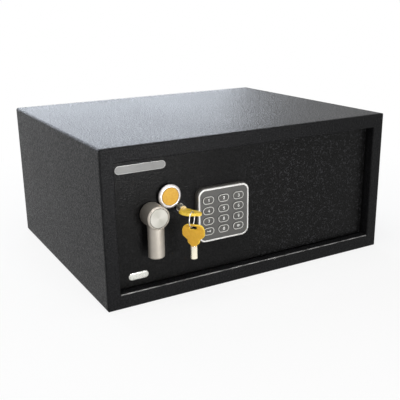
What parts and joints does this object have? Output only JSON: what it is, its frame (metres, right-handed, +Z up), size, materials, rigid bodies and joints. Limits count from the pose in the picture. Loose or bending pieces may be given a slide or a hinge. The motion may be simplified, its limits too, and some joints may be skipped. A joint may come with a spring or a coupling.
{
  "type": "laptop safe",
  "caption": "Black steel laptop safe with a recessed swinging door, keypad, turn knob driving a sliding bolt carriage, override lock with swivel cap and keys on a ring.",
  "frame": {"origin": "centre of the cabinet's underside", "axes": "+X to the right along the front as seen from the front, the front faces -Y, +Z up"},
  "size_m": [0.43, 0.391, 0.2],
  "materials": {
    "cabinet_paint": "black fine-textured powder coat",
    "door_paint": "black fine-textured powder coat",
    "zinc_plated": "zinc plated steel",
    "satin_nickel": "satin nickel plating, radially brushed on the face",
    "lock_metal": "dark plated metal with bright edges",
    "key_metal": "nickel plated",
    "dark_plastic": "fine grain",
    "keypad_grey": "smooth grey-brown face",
    "button_grey": "smooth, light legend",
    "silicone": "plain",
    "yellow_plastic": "smooth golden yellow",
    "coil_copper": "varnished winding",
    "circuit_board": "solder mask",
    "battery_skin": "plain cell jacket",
    "cable": "plain cable",
    "red_plastic": "smooth"
  },
  "bodies": {
    "cabinet": {"body_shell": "cabinet_paint", "back_panel": "cabinet_paint", "door_frame": "cabinet_paint", "hinge_brackets": "cabinet_paint"},
    "door": {"door_panel": "door_paint", "hinge_pins": "zinc_plated", "hinge_washers": "zinc_plated", "inner_cover": "dark_plastic", "mounting_screws": "zinc_plated", "bolt_guides": "zinc_plated", "guide_studs": "zinc_plated", "spindle_bush": "zinc_plated", "solenoid_frame": "zinc_plated", "solenoid_coil": "coil_copper", "keypad_housing": "dark_plastic", "keypad_bezel": "satin_nickel", "keypad_face": "keypad_grey", "keypad_mat": "silicone", "keypad_circuit_board": "circuit_board", "lock_barrel": "lock_metal", "lock_nut": "zinc_plated", "battery_box": "dark_plastic", "batteries": "battery_skin", "battery_contacts": "zinc_plated", "reset_switch": "dark_plastic", "wiring": "cable"},
    "battery_lid": {"battery_cover": "dark_plastic"},
    "reset": {"reset_button": "red_plastic"},
    "bolt_carriage": {"bolt_bar": "zinc_plated", "locking_bolts": "zinc_plated", "bolt_pins": "zinc_plated"},
    "knob": {"knob_body": "satin_nickel", "knob_face": "satin_nickel", "knob_spindle": "zinc_plated", "spindle_cam": "zinc_plated", "spindle_clip": "zinc_plated"},
    "blocking_pin": {"solenoid_plunger": "zinc_plated", "plunger_spring": "zinc_plated"},
    "lock": {"lock_plug": "lock_metal", "lock_cam": "zinc_plated"},
    "key_1": {"key_1_blade": "key_metal", "key_1_bow": "yellow_plastic"},
    "ring": {"key_ring": "key_metal"},
    "key_2": {"key_2_blade": "key_metal", "key_2_bow": "yellow_plastic"},
    "cap": {"keyhole_cap": "satin_nickel", "keyhole_cap_insert": "yellow_plastic", "cap_clip": "zinc_plated"},
    "button_1": {"button_1": "button_grey"},
    "button_2": {"button_2": "button_grey"},
    "button_3": {"button_3": "button_grey"},
    "button_4": {"button_4": "button_grey"},
    "button_5": {"button_5": "button_grey"},
    "button_6": {"button_6": "button_grey"},
    "button_7": {"button_7": "button_grey"},
    "button_8": {"button_8": "button_grey"},
    "button_9": {"button_9": "button_grey"},
    "button_0": {"button_0": "button_grey"},
    "button_enter": {"button_enter": "button_grey"},
    "button_clear": {"button_clear": "button_grey"}
  },
  "joints": [
    {"name": "door_swing", "type": "hinge", "parent": "cabinet", "child": "door", "pos_m": [0.187, -0.157, 0.1], "axis": [0, 0, 1], "range_deg": [0, 100]},
    {"name": "knob_turn", "type": "hinge", "parent": "door", "child": "knob", "pos_m": [-0.1495, -0.176, 0.1114], "axis": [0, 1, 0], "range_deg": [0, 90]},
    {"name": "bolt_slide", "type": "slide", "parent": "door", "child": "bolt_carriage", "axis": [-1, 0, 0], "range_m": [0, 0.0145]},
    {"name": "blocking_pin_slide", "type": "slide", "parent": "door", "child": "blocking_pin", "axis": [0, 0, 1], "range_m": [-0.006, 0], "stiffness_N_per_m": 120, "springref_m": -0.012, "deforming": ["plunger_spring"]},
    {"name": "lock_turn", "type": "hinge", "parent": "door", "child": "lock", "pos_m": [-0.11, -0.155, 0.1128], "axis": [0, -1, 0], "range_deg": [0, 90]},
    {"name": "key_pull", "type": "slide", "parent": "lock", "child": "key_1", "axis": [0, -1, 0], "range_m": [0, 0.03]},
    {"name": "ring_swing", "type": "hinge", "parent": "key_1", "child": "ring", "pos_m": [-0.10823, -0.1979, 0.11249], "axis": [-0.6691, 0.7431, 0], "range_deg": [0, 20]},
    {"name": "key_2_swing", "type": "hinge", "parent": "ring", "child": "key_2", "pos_m": [-0.11419, -0.20327, 0.09939], "axis": [0.7431, 0.6691, 0], "range_deg": [-15, 15]},
    {"name": "cap_swing", "type": "hinge", "parent": "door", "child": "cap", "pos_m": [-0.1235, -0.1665, 0.1196], "axis": [0, 1, 0], "range_deg": [0, 24]},
    {"name": "battery_lid_slide", "type": "slide", "parent": "door", "child": "battery_lid", "axis": [1, 0, 0], "range_m": [0, 0.044]},
    {"name": "reset_press", "type": "slide", "parent": "door", "child": "reset", "axis": [0, -1, 0], "range_m": [0, 0.0005], "stiffness_N_per_m": 2500},
    {"name": "button_1_press", "type": "slide", "parent": "door", "child": "button_1", "axis": [0, 1, 0], "range_m": [0, 0.0008], "stiffness_N_per_m": 2500},
    {"name": "button_2_press", "type": "slide", "parent": "door", "child": "button_2", "axis": [0, 1, 0], "range_m": [0, 0.0008], "stiffness_N_per_m": 2500},
    {"name": "button_3_press", "type": "slide", "parent": "door", "child": "button_3", "axis": [0, 1, 0], "range_m": [0, 0.0008], "stiffness_N_per_m": 2500},
    {"name": "button_4_press", "type": "slide", "parent": "door", "child": "button_4", "axis": [0, 1, 0], "range_m": [0, 0.0008], "stiffness_N_per_m": 2500},
    {"name": "button_5_press", "type": "slide", "parent": "door", "child": "button_5", "axis": [0, 1, 0], "range_m": [0, 0.0008], "stiffness_N_per_m": 2500},
    {"name": "button_6_press", "type": "slide", "parent": "door", "child": "button_6", "axis": [0, 1, 0], "range_m": [0, 0.0008], "stiffness_N_per_m": 2500},
    {"name": "button_7_press", "type": "slide", "parent": "door", "child": "button_7", "axis": [0, 1, 0], "range_m": [0, 0.0008], "stiffness_N_per_m": 2500},
    {"name": "button_8_press", "type": "slide", "parent": "door", "child": "button_8", "axis": [0, 1, 0], "range_m": [0, 0.0008], "stiffness_N_per_m": 2500},
    {"name": "button_9_press", "type": "slide", "parent": "door", "child": "button_9", "axis": [0, 1, 0], "range_m": [0, 0.0008], "stiffness_N_per_m": 2500},
    {"name": "button_0_press", "type": "slide", "parent": "door", "child": "button_0", "axis": [0, 1, 0], "range_m": [0, 0.0008], "stiffness_N_per_m": 2500},
    {"name": "button_enter_press", "type": "slide", "parent": "door", "child": "button_enter", "axis": [0, 1, 0], "range_m": [0, 0.0008], "stiffness_N_per_m": 2500},
    {"name": "button_clear_press", "type": "slide", "parent": "door", "child": "button_clear", "axis": [0, 1, 0], "range_m": [0, 0.0008], "stiffness_N_per_m": 2500}
  ],
  "couplings": [
    {"joint": "bolt_slide", "follows": "knob_turn", "m_per_rad": 0.009003}
  ]
}
